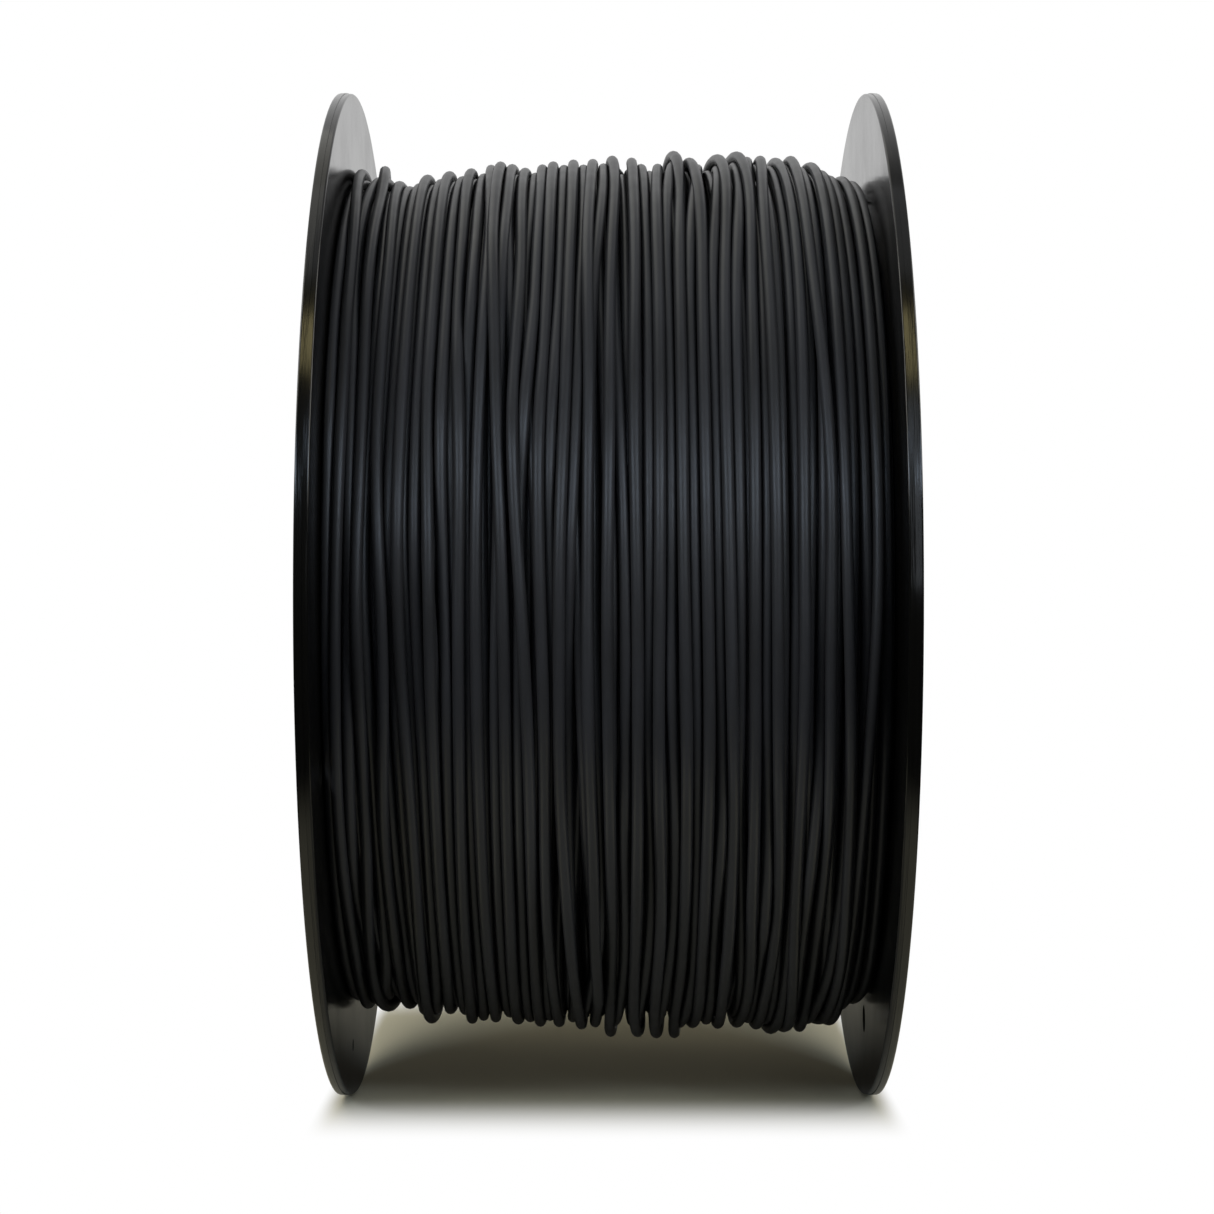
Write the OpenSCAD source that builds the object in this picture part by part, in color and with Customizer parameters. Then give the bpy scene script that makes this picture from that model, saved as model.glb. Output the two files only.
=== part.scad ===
// Filament spool: two moulded flanges snapped onto a winding barrel, with a
// tube through the middle for the spindle, wound full of 1.75 mm filament.
// The spool's axis is X, +Z is up, and the origin is the middle of the arbor
// bore, halfway between the outer faces. Lengths are millimetres. Angles round
// the axis start at the front (-Y), go down past the bottom (-Z, 90) and on to
// the back (+Y, 180).

/* [Flanges] */
// Diameter of the flanges, which the spool also stands on
flange_d = 165; // [155:1:200]
// Thickness of a flange
flange_t = 2.1; // [1.8:0.1:3]
// Overall width over both outer faces
overall_w = 87.2; // [80:0.1:100]
// Round on the rim's two edges
rim_round = 0.3; // [0.2:0.05:0.4]
// How much the rim's diameter steps in at its mould parting line
parting_step = 0.12; // [0.05:0.01:0.2]

/* [Tie-off holes] */
// Diameter of the two round tie-off holes in each flange
tie_hole_d = 4.4; // [3:0.1:5]
// Distance of the tie-off holes from the axis
tie_hole_r = 70.3; // [68:0.1:74]
// Diameter of the small hole near the rim
pin_hole_d = 2; // [1.5:0.1:3]
// Distance of the small hole from the axis
pin_hole_r = 74.5; // [72:0.1:77]

/* [Hub] */
// Bore that a spindle goes through
arbor_d = 32; // [25:0.5:40]
// Wall of the arbor tube
arbor_wall = 2.2; // [1.6:0.1:2.6]
// Outside diameter of the barrel that the filament is wound on
barrel_d = 73; // [68:0.5:80]
// Wall of the barrel
barrel_wall = 2.4; // [2:0.1:3]
// Number of radial ribs in each hub, and of snap hooks on its spigot
hub_ribs = 6; // [4:2:8]
// How far each hub reaches inwards from the flange's outer face
hub_depth = 12; // [11:0.5:16]

/* [Filament] */
// Diameter of the filament
strand_d = 1.75; // [1.6:0.05:2]
// Radius of the full winding at its highest
winding_r = 71.8; // [66:0.1:73]
// How much lower the winding lies at the left flange
left_drop = 4.6; // [1:0.1:6]
// How much lower the winding lies at the right flange
right_drop = 2.4; // [1:0.1:6]

/* [Hidden] */

$fn = 96;
hole_sides = 48;         // facets round a small hole
strand_sides = 24;       // facets round the filament where it is drawn as a solid of its own
overlap = 0.02;          // how far joined shapes run into each other
fit_gap = 0.1;           // clearance between separate pieces
cut_margin = 1;          // how far a cutter reaches past the wall that it cuts
glossy_black = [0.03, 0.03, 0.03];
hub_black = [0.05, 0.05, 0.05];
charcoal = [0.16, 0.17, 0.18];

flange_r = flange_d / 2;
inner_face = overall_w / 2 - flange_t;      // distance of a flange's inner face from the middle
arbor_r = arbor_d / 2;
arbor_outer_r = arbor_r + arbor_wall;
barrel_r = barrel_d / 2;
barrel_inner_r = barrel_r - barrel_wall;

// A flange's hub: a collar round the arbor tube and a spigot inside the barrel
collar_r = arbor_outer_r + fit_gap;
collar_wall = 2.5;
spigot_r = barrel_inner_r - fit_gap;
spigot_wall = 2.4;
hub_floor = 2;                              // thickness of the floor across the hub
hub_pocket = hub_depth - hub_floor;         // depth of the recess seen from outside
rib_t = 1.6;
rib_inset = 0.8;                            // the ribs stop short of the outer face
rib_root = 0.5;                             // how far a rib runs into the collar and the spigot

// Snap hooks on the spigot, and the windows in the barrel that they fill
hook_w = 6;
hook_out = 1.3;                             // how far a hook stands out of the spigot
hook_start = 5.6;                           // from the flange's outer face
hook_len = 3.6;
hook_slit = 1;                              // slit beside each hook that lets it bend
slit_start = flange_t + 2;                  // the slits begin this far from the flange's outer face
window_gap = 0.3;                           // clearance all round a hook in its window

// The two flanges are the same moulding. The right one is turned round, and
// then turned this far about the axis, so its holes don't face the left one's.
right_turn = 60;
tie_hole_angles = [21.6, 161];
pin_hole_angle = 79.8;

// The rim's parting line, just inside the middle of its thickness, and how much
// the draft narrows the band outside it
parting_share = 0.56;
parting_at = parting_share * flange_t;
rim_draft = 0.05;

// The winding: turns side by side, in a section that sags towards the flanges
winding_half = inner_face - fit_gap;
turns = floor(2 * winding_half / strand_d);
turn_pitch = 2 * winding_half / turns;
hidden_depth = 3 * strand_d;                // thickness of the outer layers over the inner ones
left_fall_power = 2;
right_fall_power = 8;
function drop_at(x) = x < 0 ? left_drop * pow(-x / winding_half, left_fall_power)
                            : right_drop * pow(x / winding_half, right_fall_power);
crown_steps = 24;
function crown(less) = [for (i = [0 : crown_steps])
    let (x = winding_half * (2 * i / crown_steps - 1)) [winding_r - hidden_depth - drop_at(x) - less, x]];
function turn_x(i) = -winding_half + turn_pitch / 2 + i * turn_pitch;
function turn_r(i) = winding_r - strand_d / 2 - drop_at(turn_x(i));

// A point at angle a round the axis, r from it and x along it
function on_axis(x, r, a) = [x, -r * cos(a), -r * sin(a)];

// The free end lies on the last turn, rises to a tie-off hole in the right
// flange, bends through it and ends just outside
free_end_angle = 180 - tie_hole_angles[0] + right_turn;
free_end_sweep = 50;                        // how far round it lies on the winding
free_end_bend = 7;                          // radius of the bend into the hole
free_end_lead = asin(free_end_bend / tie_hole_r);    // angle that the bend takes up
free_end_stub = 5;                          // how far it stands out of the flange
free_end_x = inner_face - free_end_bend + flange_t / 2;
free_end_low_r = winding_r - drop_at(free_end_x) + strand_d / 2 + fit_gap;
free_end_lay_steps = 16;
free_end_bend_steps = 8;
free_end_sides = 8;

// Slot that lets the first turn's end into the barrel, and the end inside it
start_slot_w = 4;
start_slot_len = 8;
start_x = -winding_half + start_slot_len;
start_tail_r = barrel_inner_r - strand_d;
start_tail_angle = 50;

// ---- shapes shared by several pieces ----

// Turns a shape drawn along +Z from a flange's outer face to lie along the
// spool's axis, at the left end
module at_left_end() {
    translate([-overall_w / 2, 0, 0]) rotate([0, 90, 0]) children();
}

// The same at the right end
module at_right_end() {
    rotate([right_turn, 0, 0]) rotate([0, 0, 180]) at_left_end() children();
}

// A quarter circle of points about [cx, cy], from angle a to angle b
function arc(cx, cy, r, a, b, steps = 6) =
    [for (i = [0 : steps]) [cx + r * cos(a + (b - a) * i / steps), cy + r * sin(a + (b - a) * i / steps)]];

// ---- flanges ----

// Section of a flange and its hub: distance from the axis, height from the outer face
module flange_section() {
    rim = flange_r - rim_round;
    inner_rim = rim - parting_step;
    polygon(concat(
        [[collar_r, 0], [collar_r + collar_wall, 0], [collar_r + collar_wall, hub_pocket]],
        [[spigot_r - spigot_wall, hub_pocket], [spigot_r - spigot_wall, 0]],
        arc(rim - rim_draft, rim_round, rim_round, -90, 0),
        [[flange_r, parting_at], [flange_r - parting_step, parting_at]],
        arc(inner_rim, flange_t - rim_round, rim_round, 0, 90),
        [[spigot_r, flange_t], [spigot_r, hub_depth], [collar_r, hub_depth]]
    ));
}

// A round hole through the flange's plate at an angle round the axis
module plate_hole(r, d, angle) {
    rotate([0, 0, angle - 90]) translate([r, 0, -overlap])
        cylinder(d = d, h = flange_t + 2 * overlap, $fn = hole_sides);
}

// One radial rib across the hub's recess
module hub_rib() {
    rib_start = collar_r + collar_wall - rib_root;
    rib_end = spigot_r - spigot_wall + rib_root;
    translate([rib_start, -rib_t / 2, rib_inset])
        cube([rib_end - rib_start, rib_t, hub_pocket - rib_inset + overlap]);
}

// One snap hook: a wedge whose steep side faces the flange
module snap_hook() {
    root = spigot_r - spigot_wall / 2;
    rotate([90, 0, 0]) linear_extrude(height = hook_w, center = true)
        polygon([[root, hook_start], [spigot_r + hook_out, hook_start],
                 [spigot_r, hook_start + hook_len], [root, hook_start + hook_len]]);
}

// The two slits through the spigot beside a hook, which end at the hub's floor
module hook_slits() {
    for (side = [-1, 1])
        translate([spigot_r - spigot_wall, side * (hook_w + hook_slit) / 2 - hook_slit / 2, slit_start])
            translate([-cut_margin, 0, 0])
                cube([spigot_wall + 2 * cut_margin, hook_slit, hub_pocket - slit_start]);
}

// Copies a shape into the middle of each space between two ribs
module between_ribs() {
    half_space = 180 / hub_ribs;
    for (i = [0 : hub_ribs - 1]) rotate([0, 0, i * 360 / hub_ribs + half_space]) children();
}

module flange_moulding() {
    difference() {
        rotate_extrude() flange_section();
        for (angle = tie_hole_angles) plate_hole(tie_hole_r, tie_hole_d, angle);
        plate_hole(pin_hole_r, pin_hole_d, pin_hole_angle);
        between_ribs() hook_slits();
    }
    for (i = [0 : hub_ribs - 1]) rotate([0, 0, i * 360 / hub_ribs]) hub_rib();
    between_ribs() snap_hook();
}

module left_flange() {
    color(glossy_black) at_left_end() flange_moulding();
}

module right_flange() {
    color(glossy_black) at_right_end() flange_moulding();
}

// ---- barrel and arbor tube ----

// The windows in one end of the barrel, seen from that end's flange
module hook_windows() {
    between_ribs()
        translate([barrel_inner_r - cut_margin, -hook_w / 2 - window_gap, hook_start - window_gap])
            cube([barrel_wall + 2 * cut_margin, hook_w + 2 * window_gap, hook_len + 2 * window_gap]);
}

// The slot in the barrel's wall for the first turn
module start_slot() {
    translate([start_x, -start_slot_w / 2, -barrel_r - cut_margin])
        cube([start_slot_len, start_slot_w, barrel_wall + 2 * cut_margin]);
}

module barrel() {
    color(hub_black) difference() {
        translate([-winding_half, 0, 0]) rotate([0, 90, 0]) cylinder(r = barrel_r, h = 2 * winding_half);
        translate([-overall_w / 2, 0, 0]) rotate([0, 90, 0]) cylinder(r = barrel_inner_r, h = overall_w);
        at_left_end() hook_windows();
        at_right_end() hook_windows();
        start_slot();
    }
}

// Section of the arbor tube, with its edges broken at both ends
module arbor_section() {
    edge = 0.4;
    half = overall_w / 2;
    polygon([[arbor_r, -half], [arbor_outer_r - edge, -half], [arbor_outer_r, edge - half],
             [arbor_outer_r, half - edge], [arbor_outer_r - edge, half], [arbor_r, half]]);
}

module arbor_tube() {
    color(hub_black) rotate([0, 90, 0]) rotate_extrude() arbor_section();
}

// ---- filament ----

// The end that the winding starts from: a curl inside the barrel that comes
// out through the slot
module filament_start() {
    x = start_x + start_slot_len / 2;
    color(charcoal) translate([x, 0, 0]) rotate([90, 0, 90]) {
        rotate([0, 0, -90]) rotate_extrude(angle = start_tail_angle)
            translate([start_tail_r, 0]) circle(d = strand_d, $fn = strand_sides);
        translate([0, -start_tail_r, 0]) sphere(d = strand_d, $fn = strand_sides);
        translate([0, -start_tail_r, 0]) rotate([90, 0, 0])
            cylinder(d = strand_d, h = barrel_r - start_tail_r, $fn = strand_sides);
    }
}

// All the layers that the outer ones hide, as one sleeve
module filament_inner_layers() {
    inside = barrel_r + fit_gap;
    color(charcoal) rotate([0, 90, 0]) rotate_extrude()
        polygon(concat([[inside, winding_half], [inside, -winding_half]], crown(fit_gap)));
}

// Section of the outer layers: a row of round turns over the inner layers' crown
module outer_layer_section() {
    arc_steps = 4;
    side = 60;                              // the arcs meet this far from the turn's top
    inside = crown(0);
    polygon(concat(
        [for (i = [crown_steps : -1 : 0]) inside[i]],
        [[turn_r(0), -winding_half]],
        [for (i = [0 : turns - 1]) each arc(turn_r(i), turn_x(i), strand_d / 2, -side, side, arc_steps)],
        [[turn_r(turns - 1), winding_half]]
    ));
}

module filament_outer_layers() {
    color(charcoal) rotate([0, 90, 0]) rotate_extrude() outer_layer_section();
}

// Points of the free end: the stretch on the winding, the bend, and the stub
function free_end_lay(t) = on_axis(
    free_end_x,
    free_end_low_r + (tie_hole_r - free_end_low_r) * t * t * (3 - 2 * t),
    free_end_angle - (1 - t) * free_end_sweep - free_end_lead);
function free_end_turn(a) = on_axis(
    free_end_x + free_end_bend * (1 - cos(a)),
    tie_hole_r,
    free_end_angle - free_end_lead + asin(free_end_bend * sin(a) / tie_hole_r));
free_end_route = concat(
    [for (i = [0 : free_end_lay_steps - 1]) free_end_lay(i / free_end_lay_steps)],
    [for (i = [0 : free_end_bend_steps]) free_end_turn(90 * i / free_end_bend_steps)],
    [on_axis(overall_w / 2 + free_end_stub, tie_hole_r, free_end_angle)]
);

function unit(v) = v / norm(v);
function direction(path, i) = unit(path[min(i + 1, len(path) - 1)] - path[max(i - 1, 0)]);

// A tube of so many sides along a path. Each ring's first point faces away
// from the axis, as nearly as the path lets it.
module tube_along(path, d, sides) {
    rings = [for (i = [0 : len(path) - 1])
        let (ahead = direction(path, i),
             outward = unit([0, path[i][1], path[i][2]]),
             across = unit(cross(ahead, outward)),
             up = cross(across, ahead))
        for (k = [0 : sides - 1])
            let (a = k * 360 / sides)
            path[i] + d / 2 * (cos(a) * up + sin(a) * across)];
    last = len(path) - 1;
    polyhedron(rings, concat(
        [[for (k = [0 : sides - 1]) k]],
        [for (i = [0 : last - 1], k = [0 : sides - 1])
            let (here = i * sides, ahead = here + sides, next = (k + 1) % sides)
            [here + k, ahead + k, ahead + next, here + next]],
        [[for (k = [sides - 1 : -1 : 0]) last * sides + k]]
    ));
}

module filament_free_end() {
    color(charcoal) tube_along(free_end_route, strand_d, free_end_sides);
}

left_flange();
right_flange();
barrel();
arbor_tube();
filament_start();
filament_inner_layers();
filament_outer_layers();
filament_free_end();
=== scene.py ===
"""A filament spool on a white table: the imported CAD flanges, barrel and arbor tube, with the
filament wound on turn by turn. Lengths are metres unless a comment says otherwise. The spool's
axis is X, and angles round it start at the front (-Y), go down past the bottom (-Z, 90
degrees) and on to the back (+Y, 180 degrees), as they do in the CAD model."""

import math

import bpy
import numpy as np
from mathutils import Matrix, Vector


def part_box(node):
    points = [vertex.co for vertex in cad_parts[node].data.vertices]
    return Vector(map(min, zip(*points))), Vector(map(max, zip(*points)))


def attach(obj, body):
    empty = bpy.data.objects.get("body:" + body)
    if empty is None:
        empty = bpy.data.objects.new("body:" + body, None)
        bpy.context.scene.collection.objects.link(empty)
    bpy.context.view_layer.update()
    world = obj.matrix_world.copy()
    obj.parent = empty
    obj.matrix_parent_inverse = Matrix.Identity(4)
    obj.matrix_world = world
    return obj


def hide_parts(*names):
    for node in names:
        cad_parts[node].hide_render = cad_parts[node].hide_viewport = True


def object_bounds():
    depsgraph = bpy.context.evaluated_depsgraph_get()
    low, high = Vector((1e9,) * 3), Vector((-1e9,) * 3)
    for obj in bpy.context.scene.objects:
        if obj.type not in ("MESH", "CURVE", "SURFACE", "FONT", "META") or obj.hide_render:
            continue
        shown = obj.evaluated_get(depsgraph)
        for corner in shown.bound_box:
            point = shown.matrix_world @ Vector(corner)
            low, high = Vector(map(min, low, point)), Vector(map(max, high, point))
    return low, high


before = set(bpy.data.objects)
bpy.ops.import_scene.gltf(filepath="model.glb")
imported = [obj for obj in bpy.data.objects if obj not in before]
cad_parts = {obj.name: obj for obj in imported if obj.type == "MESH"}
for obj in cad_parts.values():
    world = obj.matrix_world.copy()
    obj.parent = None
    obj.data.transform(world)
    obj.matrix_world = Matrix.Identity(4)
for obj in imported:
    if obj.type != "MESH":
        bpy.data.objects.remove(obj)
cad_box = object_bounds()

MM = 0.001

# ---- sizes that come from the CAD model ----

_, outer_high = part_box("filament_outer_layers")
WINDING_HALF = outer_high.x / MM              # half the winding's width, in mm
WINDING_R = outer_high.z / MM                 # its radius at its highest, in mm
FLOOR_Z = cad_box[0].z

# ---- the filament, in mm ----

STRAND_D = 1.75
STRAND_R = STRAND_D / 2
LEFT_DROP = 4.6                               # how much lower the winding lies at the left flange
RIGHT_DROP = 2.4
LEFT_FALL_POWER = 2                           # a higher power keeps the fall closer to the flange
RIGHT_FALL_POWER = 8
HIDDEN_DEPTH = 3 * STRAND_D                   # from the winding's surface down to the CAD's inner layers
TIE_HOLE_R = 70.3
TIE_HOLE_ANGLE = math.radians(218.4)
TIE_HOLE_X = 42.55                            # middle of the right flange's thickness
TIE_STUB_X = 48.6                             # how far out the free end sticks
TIE_BEND = 7.0
LAST_X = TIE_HOLE_X - TIE_BEND                # where the last turn runs before it bends away

# ---- how it is wound ----

RINGS = 180                                   # rings in one turn
STEP = 2 * math.pi / RINGS
SEAM = math.radians(100)                      # a turn is worked out from here, under the spool
TURN_ANGLES = SEAM + np.arange(RINGS) * STEP
SHARE = np.arange(RINGS) / RINGS
SHARE_SMOOTH = SHARE * SHARE * (3 - 2 * SHARE)
ROWS = np.arange(RINGS)
GRID_STEP = 0.05                              # mm between the places where the surface's height is kept
GRID_X = np.arange(-WINDING_HALF - STRAND_D, WINDING_HALF + STRAND_D, GRID_STEP)
LIMIT = WINDING_HALF - STRAND_R               # how far out a strand's centre can lie
GUIDE_OVERRUN = 1.5                           # mm past LIMIT at which the guide turns on the left
GUIDE_SHORTFALL = 0.5                         # mm before LIMIT at which it turns on the right
LEFT_TURN = -LIMIT - GUIDE_OVERRUN
RIGHT_TURN = LIMIT - GUIDE_SHORTFALL
SEED = 3

SLIDE_STEPS = 36                              # steps in which a turn slides into its groove
SLIDE_STEP = 0.1                              # mm down a slope of one
SLIDE_PULL = 0.01                             # share of the way back to the guide in each step
SLIDE_FEEL = 0.3                              # mm either side over which the slope is taken
FRICTION = 0.05                               # slope on which a turn doesn't slide
BEND_SMOOTHING = 2                            # rings: a strand's stiffness while it slides
FINAL_SMOOTHING = 3
TAUT_STEPS = 160                              # steps in which a turn is pulled straight between high spots
TAUT_SMOOTHING = 1.2
TAUT_REACH = 16                               # rings of the turn before that a turn is pulled with
REMEMBERED = 60                               # rings before the first turn, which lie at the left flange

WAVES = np.arange(1, 8)                       # waves to a turn in which the guide's hand shakes
WAVE_FADE = 0.7                               # how fast the shorter waves get smaller
WAVE_SHARE = 0.5                              # share of a layer's wander that a wave of one makes
WAVE_KEPT = 0.5                               # share of a turn's wave that follows the turn before it
CROSSING_PLACE = (0.6, 5.6)                   # radians from the seam: where a crossing can be
CROSSING_WIDTH = (0.25, 0.5)                  # radians
CROSSING_REACH = (1.2, 2.6)                   # mm aside

BEND_RINGS = 12                               # rings in the free end's bend
STUB_RINGS = 4
STRAND_SIDES = 12


class Layer:
    """One pass of the winding guide across the spool."""

    def __init__(self, start, end, pitch, wander, crossings):
        self.start = start                    # where the pass begins and ends, in mm
        self.end = end
        self.pitch = pitch                    # in strand diameters
        self.wander = wander                  # how far turns stray from the guide, in mm
        self.crossings = crossings            # chance that a turn swings over its neighbours


LAYERS = [
    Layer(LEFT_TURN, RIGHT_TURN, 1.8, 0.5, 0.2),
    Layer(RIGHT_TURN, LEFT_TURN, 1.9, 0.5, 0.2),
    Layer(LEFT_TURN, RIGHT_TURN, 2.0, 0.5, 0.2),
    Layer(RIGHT_TURN, LEFT_TURN, 2.0, 0.6, 0.3),
    Layer(LEFT_TURN, LAST_X, 1.9, 0.7, 0.4),
]


def drop_at(x):
    """How much lower than its highest the winding lies at x."""
    left = LEFT_DROP * np.clip(-x / WINDING_HALF, 0, 1) ** LEFT_FALL_POWER
    right = RIGHT_DROP * np.clip(x / WINDING_HALF, 0, 1) ** RIGHT_FALL_POWER
    return left + right


def smooth(values, before, sigma):
    """values smoothed along the strand. before is what came just before them."""
    reach = int(3 * sigma) + 1
    kernel = np.exp(-0.5 * (np.arange(-reach, reach + 1) / sigma) ** 2)
    kernel /= kernel.sum()
    ahead = np.repeat(values[-1], reach)
    return np.convolve(np.concatenate([before[-reach:], values, ahead]), kernel, mode="valid")


def rest_height(support, x):
    """Radius at which a strand's centre would rest at x, at every angle of a turn."""
    place = (np.clip(x, GRID_X[0], GRID_X[-2]) - GRID_X[0]) / GRID_STEP
    cell = np.minimum(place.astype(int), len(GRID_X) - 2)
    share = place - cell
    rows = ROWS[:len(x)]
    return support[rows, cell] * (1 - share) + support[rows, cell + 1] * share


def slide(support, guide, before):
    """The turn slides off the strands under it into the grooves between them, as far as its
    tension and friction let it."""
    x = guide.copy()
    for _ in range(SLIDE_STEPS):
        rise = rest_height(support, x + SLIDE_FEEL) - rest_height(support, x - SLIDE_FEEL)
        slope = rise / (2 * SLIDE_FEEL)
        push = np.sign(slope) * np.clip(np.abs(slope) - FRICTION, 0, 1)
        x = x - SLIDE_STEP * push + SLIDE_PULL * (guide - x)
        x = np.clip(smooth(x, before, BEND_SMOOTHING), -LIMIT, LIMIT)
    return smooth(x, before, FINAL_SMOOTHING)


def pull_taut(height, before):
    """Radius along a turn that rests on height and runs straight between the high spots."""
    ends = np.concatenate([before[-TAUT_REACH:], height, np.repeat(height[-1], TAUT_REACH)])
    tight = 1 / ends
    curve = tight.copy()
    for _ in range(TAUT_STEPS):
        chord = (curve[:-2] + curve[2:]) / (2 * math.cos(STEP))
        curve[1:-1] = np.minimum(tight[1:-1], chord)
    return smooth(1 / curve[TAUT_REACH:-TAUT_REACH], before, TAUT_SMOOTHING)


def press_into(support, x, radius):
    """Raises support where the new turn now lies."""
    reach = int(STRAND_D / GRID_STEP) + 1
    centre = np.rint((x - GRID_X[0]) / GRID_STEP).astype(int)
    cells = np.clip(centre[:, None] + np.arange(-reach, reach + 1), 0, len(GRID_X) - 1)
    aside = GRID_X[cells] - x[:, None]
    over = radius[:, None] + np.sqrt(np.clip(STRAND_D ** 2 - aside ** 2, 0, None))
    over[np.abs(aside) >= STRAND_D] = 0
    rows = np.broadcast_to(ROWS[:, None], cells.shape)
    np.maximum.at(support, (rows, cells), over)


def sway(rng, last, layer):
    """How one turn strays from the guide: a slow wave that half follows the turn before it."""
    new = rng.normal(0, 1, (2, len(WAVES))) / WAVES ** WAVE_FADE
    waves = WAVE_KEPT * last + math.sqrt(1 - WAVE_KEPT ** 2) * new
    phase = np.outer(WAVES, TURN_ANGLES)
    wave = waves[0] @ np.cos(phase) + waves[1] @ np.sin(phase)
    swing = np.zeros(RINGS)
    if rng.random() < layer.crossings:
        at = SEAM + rng.uniform(*CROSSING_PLACE)
        width = rng.uniform(*CROSSING_WIDTH)
        aside = rng.choice([-1, 1]) * rng.uniform(*CROSSING_REACH)
        swing = aside * np.exp(-((TURN_ANGLES - at) / width) ** 2)
    return waves, layer.wander * wave * WAVE_SHARE + swing


def last_stretch(support, before_x, before_r, turn_count):
    """Part of a turn up to the tie-off hole, a quarter bend into it, and the stub beyond."""
    bend_share = TIE_BEND / TIE_HOLE_R
    rings = int((TIE_HOLE_ANGLE - bend_share - SEAM) / STEP)
    settle = SHARE_SMOOTH[np.linspace(0, RINGS - 1, rings).astype(int)]
    held = np.full(RINGS, LAST_X)
    x = slide(support, held, before_x)
    x[:rings] += (LAST_X - x[:rings]) * settle
    x[rings:] = LAST_X
    radius = pull_taut(rest_height(support, x), before_r)[:rings]
    bend = np.linspace(0, math.pi / 2, BEND_RINGS)
    bend_x = LAST_X + TIE_BEND * (1 - np.cos(bend))
    bend_angle = TIE_HOLE_ANGLE - bend_share * (1 - np.sin(bend))
    bend_radius = TIE_HOLE_R + (radius[-1] - TIE_HOLE_R) * np.cos(bend) ** 2
    stub_x = np.linspace(TIE_HOLE_X, TIE_STUB_X, STUB_RINGS + 1)[1:]
    angle = np.concatenate([TURN_ANGLES[:rings], bend_angle, np.full(STUB_RINGS, TIE_HOLE_ANGLE)])
    return np.stack([
        np.concatenate([x[:rings], bend_x, stub_x]),
        np.concatenate([radius, bend_radius, np.full(STUB_RINGS, TIE_HOLE_R)]),
        angle + 2 * math.pi * turn_count,
    ])


def wind():
    """Winds every layer on and ties the strand off. Returns its x, radius and angle at every
    ring."""
    rng = np.random.default_rng(SEED)
    surface = WINDING_R - HIDDEN_DEPTH - drop_at(GRID_X) + STRAND_R
    support = np.broadcast_to(surface, (RINGS, len(GRID_X))).copy()
    rows = []
    before_x = np.full(REMEMBERED, -LIMIT)
    before_r = np.full(REMEMBERED, rest_height(support, before_x[:1])[0])
    turn_count = 0
    for layer in LAYERS:
        turns = round(abs(layer.end - layer.start) / (layer.pitch * STRAND_D))
        advance = (layer.end - layer.start) / turns
        waves, wave = sway(rng, np.zeros((2, len(WAVES))), layer)
        for turn in range(turns):
            waves, next_wave = sway(rng, waves, layer)
            swung = wave * (1 - SHARE_SMOOTH) + next_wave * SHARE_SMOOTH
            guide = np.clip(layer.start + advance * (turn + SHARE) + swung, -LIMIT, LIMIT)
            x = slide(support, guide, before_x)
            radius = pull_taut(rest_height(support, x), before_r)
            press_into(support, x, radius)
            rows.append(np.stack([x, radius, TURN_ANGLES + 2 * math.pi * turn_count]))
            before_x, before_r, wave = x, radius, next_wave
            turn_count += 1
    rows.append(last_stretch(support, before_x, before_r, turn_count))
    return np.concatenate(rows, axis=1)


def points_of(path):
    """Positions in metres of the rows (x, radius, angle) of a path."""
    x, radius, angle = path
    return np.stack([x, -radius * np.cos(angle), -radius * np.sin(angle)], axis=1) * MM


def tube(name, points, sides, material):
    """A closed round tube of the strand's diameter along points."""
    count = len(points)
    ahead = np.gradient(points, axis=0)
    ahead /= np.linalg.norm(ahead, axis=1)[:, None]
    outward = points * [0, 1, 1]
    across = np.cross(ahead, outward)
    across /= np.linalg.norm(across, axis=1)[:, None]
    up = np.cross(across, ahead)
    turn = np.arange(sides) * 2 * math.pi / sides
    ring = np.cos(turn)[None, :, None] * up[:, None] + np.sin(turn)[None, :, None] * across[:, None]
    vertices = (points[:, None] + ring * STRAND_R * MM).reshape(-1, 3)
    i, k = np.meshgrid(np.arange(count - 1), np.arange(sides), indexing="ij")
    here, there = i * sides, (i + 1) * sides
    after = (k + 1) % sides
    quads = np.stack([here + k, here + after, there + after, there + k], axis=-1).reshape(-1, 4)
    first = list(range(sides))[::-1]
    last = [(count - 1) * sides + k for k in range(sides)]
    mesh = bpy.data.meshes.new(name)
    mesh.from_pydata(vertices.tolist(), [], quads.tolist() + [first, last])
    mesh.materials.append(material)
    mesh.polygons.foreach_set("use_smooth", [True] * len(quads) + [False, False])
    mesh.update()
    piece = bpy.data.objects.new(name, mesh)
    bpy.context.scene.collection.objects.link(piece)
    return piece


# ---- materials ----

PLASTIC_IOR = 1.5
MOULDING_BLACK = (0.0015, 0.0015, 0.0014, 1)
HUB_BLACK = (0.006, 0.006, 0.006, 1)
CHARCOAL = (0.0086, 0.009, 0.01, 1)
PALER_CHARCOAL = (0.0118, 0.0126, 0.0149, 1)
RIM_STREAKS = (30, 1, 1)                      # noise much finer along the axis makes streaks round it
ACROSS_TURNS = (1, 0.1, 0.1)                  # noise drawn out along the turns
NOISE_LOW, NOISE_HIGH = 0.3, 0.7              # nearly all of a noise lies between these

FLANGES = ("left_flange", "right_flange")
HUB = ("barrel", "arbor_tube")
INNER_FILAMENT = ("filament_start", "filament_inner_layers")


def new_material(name):
    material = bpy.data.materials.new(name)
    material.use_nodes = True
    nodes, links = material.node_tree.nodes, material.node_tree.links
    return material, nodes, links, nodes["Principled BSDF"]


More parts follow.
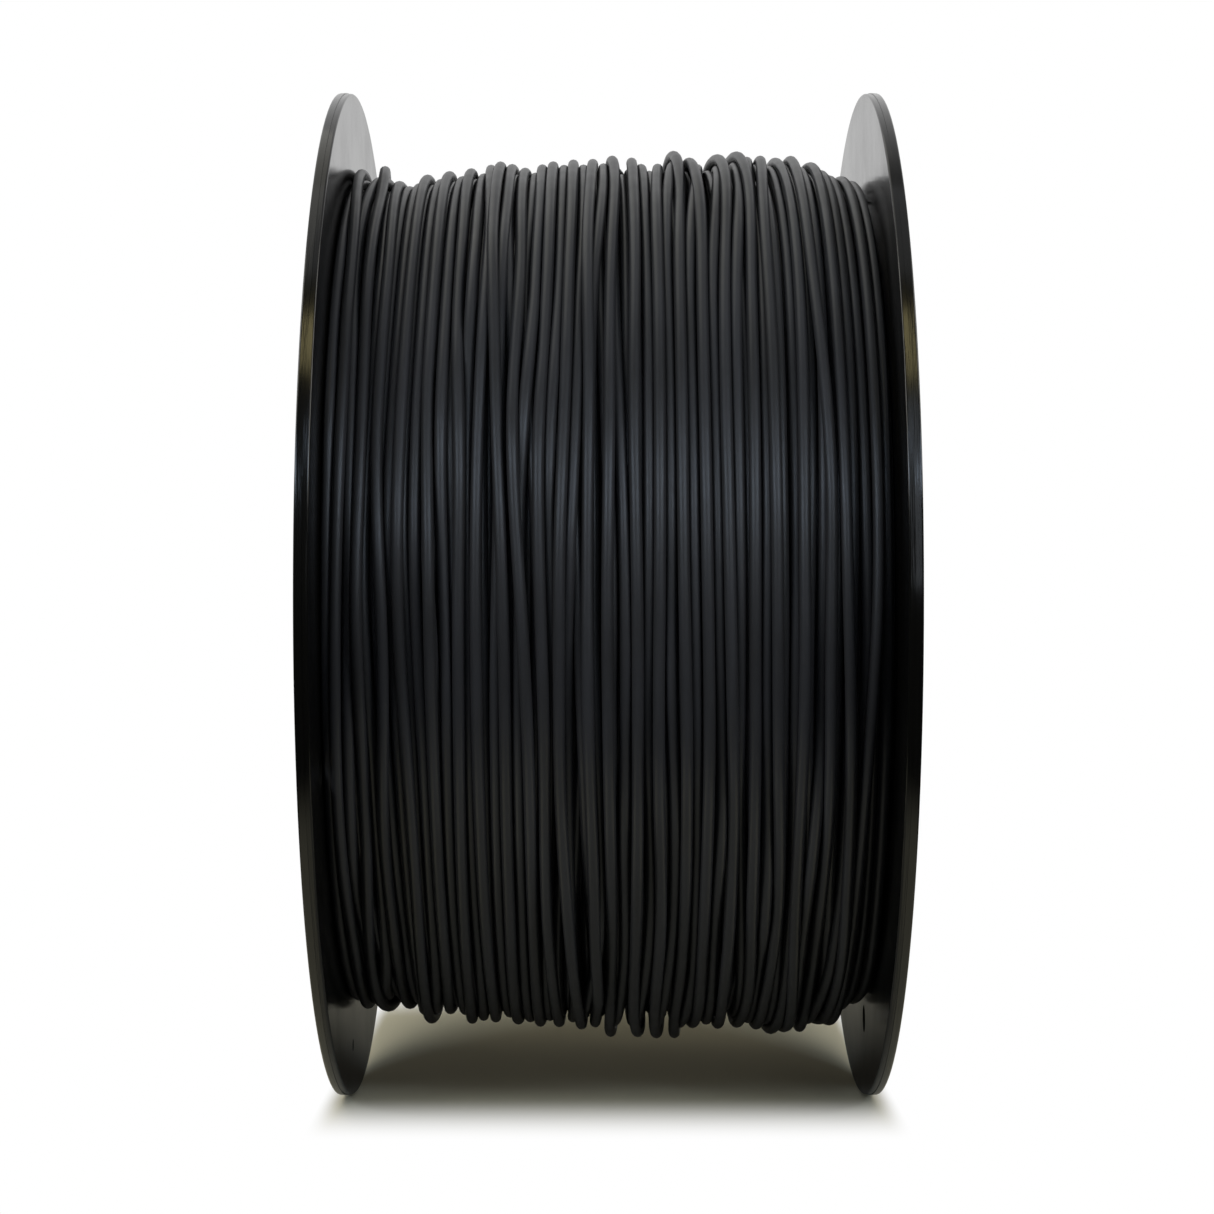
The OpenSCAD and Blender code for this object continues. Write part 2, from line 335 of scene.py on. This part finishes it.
def noise_of(nodes, links, scale, detail, stretch=(1, 1, 1)):
    """A noise texture in the object's own coordinates, finer along an axis with more stretch."""
    place = nodes.new("ShaderNodeTexCoord")
    squeezed = nodes.new("ShaderNodeVectorMath")
    squeezed.operation = "MULTIPLY"
    squeezed.inputs[1].default_value = stretch
    links.new(place.outputs["Object"], squeezed.inputs[0])
    noise = nodes.new("ShaderNodeTexNoise")
    noise.inputs["Scale"].default_value = scale
    noise.inputs["Detail"].default_value = detail
    links.new(squeezed.outputs["Vector"], noise.inputs["Vector"])
    return noise


def bumped(nodes, links, shader, noise, strength, distance):
    """Raises the surface by a noise, up to distance metres."""
    bump = nodes.new("ShaderNodeBump")
    bump.inputs["Strength"].default_value = strength
    bump.inputs["Distance"].default_value = distance
    links.new(noise.outputs["Fac"], bump.inputs["Height"])
    links.new(bump.outputs["Normal"], shader.inputs["Normal"])


def spread(nodes, links, noise, low, high):
    """A noise's middle values spread from low to high."""
    span = nodes.new("ShaderNodeMapRange")
    span.inputs["From Min"].default_value = NOISE_LOW
    span.inputs["From Max"].default_value = NOISE_HIGH
    span.inputs["To Min"].default_value = low
    span.inputs["To Max"].default_value = high
    links.new(noise.outputs["Fac"], span.inputs["Value"])
    return span.outputs["Result"]


def polished_black():
    """The flanges: polished, with fine turning streaks round the rims and hazier patches."""
    material, nodes, links, shader = new_material("polished_black_moulding")
    shader.inputs["Base Color"].default_value = MOULDING_BLACK
    shader.inputs["IOR"].default_value = PLASTIC_IOR
    haze = noise_of(nodes, links, scale=60, detail=4)
    links.new(spread(nodes, links, haze, low=0.12, high=0.2), shader.inputs["Roughness"])
    streaks = noise_of(nodes, links, scale=160, detail=4, stretch=RIM_STREAKS)
    bumped(nodes, links, shader, streaks, strength=0.06, distance=0.0003)
    return material


def satin_black():
    """The barrel and the arbor tube: an unpolished moulding."""
    material, nodes, links, shader = new_material("satin_black_moulding")
    shader.inputs["Base Color"].default_value = HUB_BLACK
    haze = noise_of(nodes, links, scale=80, detail=4)
    links.new(spread(nodes, links, haze, low=0.34, high=0.46), shader.inputs["Roughness"])
    grain = noise_of(nodes, links, scale=700, detail=3)
    bumped(nodes, links, shader, grain, strength=0.1, distance=0.0002)
    return material


def charcoal_strand():
    """The filament: satin, with its colour and sheen changing a little along its length."""
    material, nodes, links, shader = new_material("charcoal_filament")
    shader.inputs["IOR"].default_value = PLASTIC_IOR
    sheen = noise_of(nodes, links, scale=300, detail=3)
    links.new(spread(nodes, links, sheen, low=0.34, high=0.4), shader.inputs["Roughness"])
    shade = nodes.new("ShaderNodeMix")
    shade.data_type = "RGBA"
    shade.inputs["A"].default_value = CHARCOAL
    shade.inputs["B"].default_value = PALER_CHARCOAL
    patches = noise_of(nodes, links, scale=420, detail=2, stretch=ACROSS_TURNS)
    links.new(spread(nodes, links, patches, low=0, high=1), shade.inputs["Factor"])
    links.new(shade.outputs["Result"], shader.inputs["Base Color"])
    return material


def paint(names, material):
    for name in names:
        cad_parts[name].data.materials.clear()
        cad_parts[name].data.materials.append(material)


charcoal = charcoal_strand()
paint(FLANGES, polished_black())
paint(HUB, satin_black())
paint(INNER_FILAMENT, charcoal)

# ---- the winding ----

strand = tube("wound_filament", points_of(wind()), STRAND_SIDES, charcoal)
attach(strand, "root")
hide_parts("filament_outer_layers", "filament_free_end")

# ---- stage, camera and lights ----

TABLE_SIZE = 4.0                              # from the middle to an edge
TABLE_GAP = 0.0001                            # below the spool's lowest point
TABLE_WHITE = (0.95, 0.87, 0.62, 1)
# painted shade: the next two are darker copies of the table that only bounces and reflections see, between
# the flanges and farther off
TABLE_PAINTED_SHADE = (0.41, 0.385, 0.31, 1)
TABLE_PAINTED_DARK = (0, 0, 0, 1)

FOCAL_LENGTH = 83.7                           # mm
SENSOR = 36                                   # mm
SHIFT = (-0.0012, -0.0107)                    # of the picture's width, right and up
EYE_DISTANCE = 0.472

LIGHT_DISTANCE = 1.2
DOME_MIDDLE = math.radians(50)                # how high over the front the dome of light has its middle

WHITE = (1, 1, 1, 1)
WINDOW_BLUE = (0.66, 0.8, 1.0)
PALE_BLUE = (0.85, 0.92, 1.0)
SKY_WHITE = (0.95, 0.97, 1.0)
GOLD = (1.0, 0.86, 0.42)
WARM_WHITE = (1.0, 0.97, 0.9)
LAMP_WHITE = (1.0, 0.98, 0.86)


def faded(nodes, links, value, start, end, low=0, high=1):
    """A node that takes value's stretch from start to end smoothly from low to high."""
    fade = nodes.new("ShaderNodeMapRange")
    fade.interpolation_type = "SMOOTHSTEP"
    fade.inputs["From Min"].default_value = start
    fade.inputs["From Max"].default_value = end
    fade.inputs["To Min"].default_value = low
    fade.inputs["To Max"].default_value = high
    links.new(value, fade.inputs["Value"])
    return fade.outputs["Result"]


def shader_mix(nodes, links, share, under, over):
    """A shader that is under where share is 0, and over where share is 1."""
    mix = nodes.new("ShaderNodeMixShader")
    links.new(share, mix.inputs["Fac"])
    links.new(under, mix.inputs[1])
    links.new(over, mix.inputs[2])
    return mix.outputs["Shader"]


def table_material():
    """White to the camera, and glowing white in front of the spool, beside it and a little way
    behind: painted light round the spool's real shadow. The spool gets a dull bounce from between its
    flanges and a white one from beside them, and none from farther off: painted shade, which only
    bounces and reflections see."""
    material, nodes, links, _ = new_material("white_table")
    place = nodes.new("ShaderNodeNewGeometry")
    axes = nodes.new("ShaderNodeSeparateXYZ")
    links.new(place.outputs["Position"], axes.inputs["Vector"])
    aside = nodes.new("ShaderNodeMath")
    aside.operation = "ABSOLUTE"
    links.new(axes.outputs["X"], aside.inputs[0])
    away = nodes.new("ShaderNodeVectorMath")
    away.operation = "LENGTH"
    links.new(place.outputs["Position"], away.inputs[0])
    cloths = []
    for colour in (TABLE_WHITE, TABLE_PAINTED_SHADE, TABLE_PAINTED_DARK):
        cloth = nodes.new("ShaderNodeBsdfDiffuse")
        cloth.inputs["Color"].default_value = colour
        cloths.append(cloth.outputs["BSDF"])
    white, dull, black = cloths
    # painted light: the floor glows white beside, in front of and beyond the spool's real shadow
    glow = nodes.new("ShaderNodeEmission").outputs["Emission"]
    beside = faded(nodes, links, aside.outputs["Value"], start=0.043, end=0.047)
    in_front = faded(nodes, links, axes.outputs["Y"], start=-0.046, end=-0.009, low=1, high=0)
    beyond = faded(nodes, links, away.outputs["Value"], start=0.12, end=0.15)
    dark = faded(nodes, links, away.outputs["Value"], start=0.14, end=0.18)
    seen = white
    for share in (beside, in_front, beyond):
        seen = shader_mix(nodes, links, share, seen, glow)
    near = shader_mix(nodes, links, beside, dull, white)
    thrown_back = shader_mix(nodes, links, dark, near, black)
    ray = nodes.new("ShaderNodeLightPath")
    surface = shader_mix(nodes, links, ray.outputs["Is Camera Ray"], thrown_back, seen)
    links.new(surface, nodes["Material Output"].inputs["Surface"])
    return material


def stage_floor():
    mesh = bpy.data.meshes.new("floor")
    corners = [(-1, -1), (1, -1), (1, 1), (-1, 1)]
    top = FLOOR_Z - TABLE_GAP
    mesh.from_pydata([(x * TABLE_SIZE, y * TABLE_SIZE, top) for x, y in corners], [], [(0, 1, 2, 3)])
    mesh.materials.append(table_material())
    floor = bpy.data.objects.new("floor", mesh)
    bpy.context.scene.collection.objects.link(floor)


def camera():
    lens = bpy.data.cameras.new("camera")
    lens.lens = FOCAL_LENGTH
    lens.sensor_width = SENSOR
    lens.shift_x, lens.shift_y = SHIFT
    eye = bpy.data.objects.new("camera", lens)
    eye.location = (0, -EYE_DISTANCE, 0)
    eye.rotation_euler = (math.pi / 2, 0, 0)
    bpy.context.scene.collection.objects.link(eye)
    bpy.context.scene.camera = eye


def soft_light(name, across, elevation, size, radiance, colour, onto=None, mirrored=True):
    """A rectangular light facing the spool: elevation degrees up from the front, and across
    metres to the right. It falls on the objects of one collection, or on everything. Gloss
    doesn't show a light that isn't mirrored."""
    width, height = size
    lamp = bpy.data.lights.new(name, "AREA")
    lamp.shape = "RECTANGLE"
    lamp.size, lamp.size_y = width, height
    lamp.energy = radiance * math.pi * width * height
    lamp.color = colour
    box = bpy.data.objects.new(name, lamp)
    box.visible_glossy = mirrored
    box.light_linking.receiver_collection = onto
    up = math.radians(elevation)
    box.location = (across, -LIGHT_DISTANCE * math.cos(up), LIGHT_DISTANCE * math.sin(up))
    box.rotation_euler = (-box.location).to_track_quat("-Z", "Y").to_euler()
    bpy.context.scene.collection.objects.link(box)


def group(name, objects):
    """A collection that a light can be kept to."""
    collection = bpy.data.collections.new(name)
    for each in objects:
        collection.objects.link(each)
    return collection


def studio_world():
    """White to the camera. The light that falls on things comes from a dome over the front of
    the table, and gloss mirrors a room that is dim in front and bright behind."""
    world = bpy.data.worlds.new("white_studio")
    bpy.context.scene.world = world
    world.use_nodes = True
    nodes, links = world.node_tree.nodes, world.node_tree.links
    place = nodes.new("ShaderNodeTexCoord")
    axes = nodes.new("ShaderNodeSeparateXYZ")
    links.new(place.outputs["Generated"], axes.inputs["Vector"])
    ray = nodes.new("ShaderNodeLightPath")
    room = nodes["Background"]
    dome = nodes.new("ShaderNodeBackground")
    white = nodes.new("ShaderNodeBackground")
    for background in (room, dome, white):
        background.inputs["Color"].default_value = WHITE
    behind = faded(nodes, links, axes.outputs["Y"], start=0.0, end=0.9, low=0.01, high=0.8)
    links.new(behind, room.inputs["Strength"])
    toward = nodes.new("ShaderNodeVectorMath")
    toward.operation = "DOT_PRODUCT"
    toward.inputs[1].default_value = (0, -math.cos(DOME_MIDDLE), math.sin(DOME_MIDDLE))
    links.new(place.outputs["Generated"], toward.inputs[0])
    above = faded(nodes, links, toward.outputs["Value"], start=0.72, end=0.99, low=0.02, high=1.5)
    links.new(above, dome.inputs["Strength"])
    mirrored = room.outputs["Background"]
    lit = shader_mix(nodes, links, ray.outputs["Is Diffuse Ray"], mirrored, dome.outputs["Background"])
    seen = shader_mix(nodes, links, ray.outputs["Is Camera Ray"], lit, white.outputs["Background"])
    links.new(seen, nodes["World Output"].inputs["Surface"])


def light_up():
    """A wide window in front, with a taller pane right of the middle, is what the filament
    mirrors. The cards are what the rims mirror, and the boxes and side lights are fills."""
    spool = group("spool", (strand, *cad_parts.values()))
    flanges = group("flanges", [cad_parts[name] for name in FLANGES])
    mouldings = group("mouldings", [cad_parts[name] for name in FLANGES + HUB])
    soft_light("left_window", -1.0, 31.5, (1.3, 0.14), 7.4, WINDOW_BLUE)
    soft_light("window", 0.0, 31.5, (0.14, 0.14), 7.4, WINDOW_BLUE)
    soft_light("right_window", 0.86, 31.5, (1.08, 0.14), 7.4, WINDOW_BLUE)
    soft_light("right_pane", 0.26, 22, (0.16, 0.9), 1.1, PALE_BLUE)
    soft_light("sky", 0.0, 85, (2.0, 0.6), 0.35, SKY_WHITE)
    soft_light("left_card", -0.19, 54.5, (0.2, 0.28), 3.0, GOLD, onto=flanges)
    soft_light("right_card", 0.19, 54, (0.2, 0.35), 2.8, GOLD, onto=flanges)
    soft_light("left_box", -1.1, 30, (0.9, 1.2), 9.5, WARM_WHITE, onto=spool, mirrored=False)
    soft_light("right_box", 1.1, 30, (0.9, 1.2), 8.0, WARM_WHITE, onto=spool, mirrored=False)
    soft_light("left_side", -1.9, 82, (1.6, 1.4), 3.0, WARM_WHITE, onto=mouldings)
    soft_light("right_side", 1.9, 82, (1.6, 1.4), 3.0, WARM_WHITE, onto=mouldings)
    soft_light("overhead", -0.48, 102, (1.2, 0.9), 0.5, LAMP_WHITE)


stage_floor()
camera()
studio_world()
light_up()
bpy.context.scene.view_settings.view_transform = "Standard"
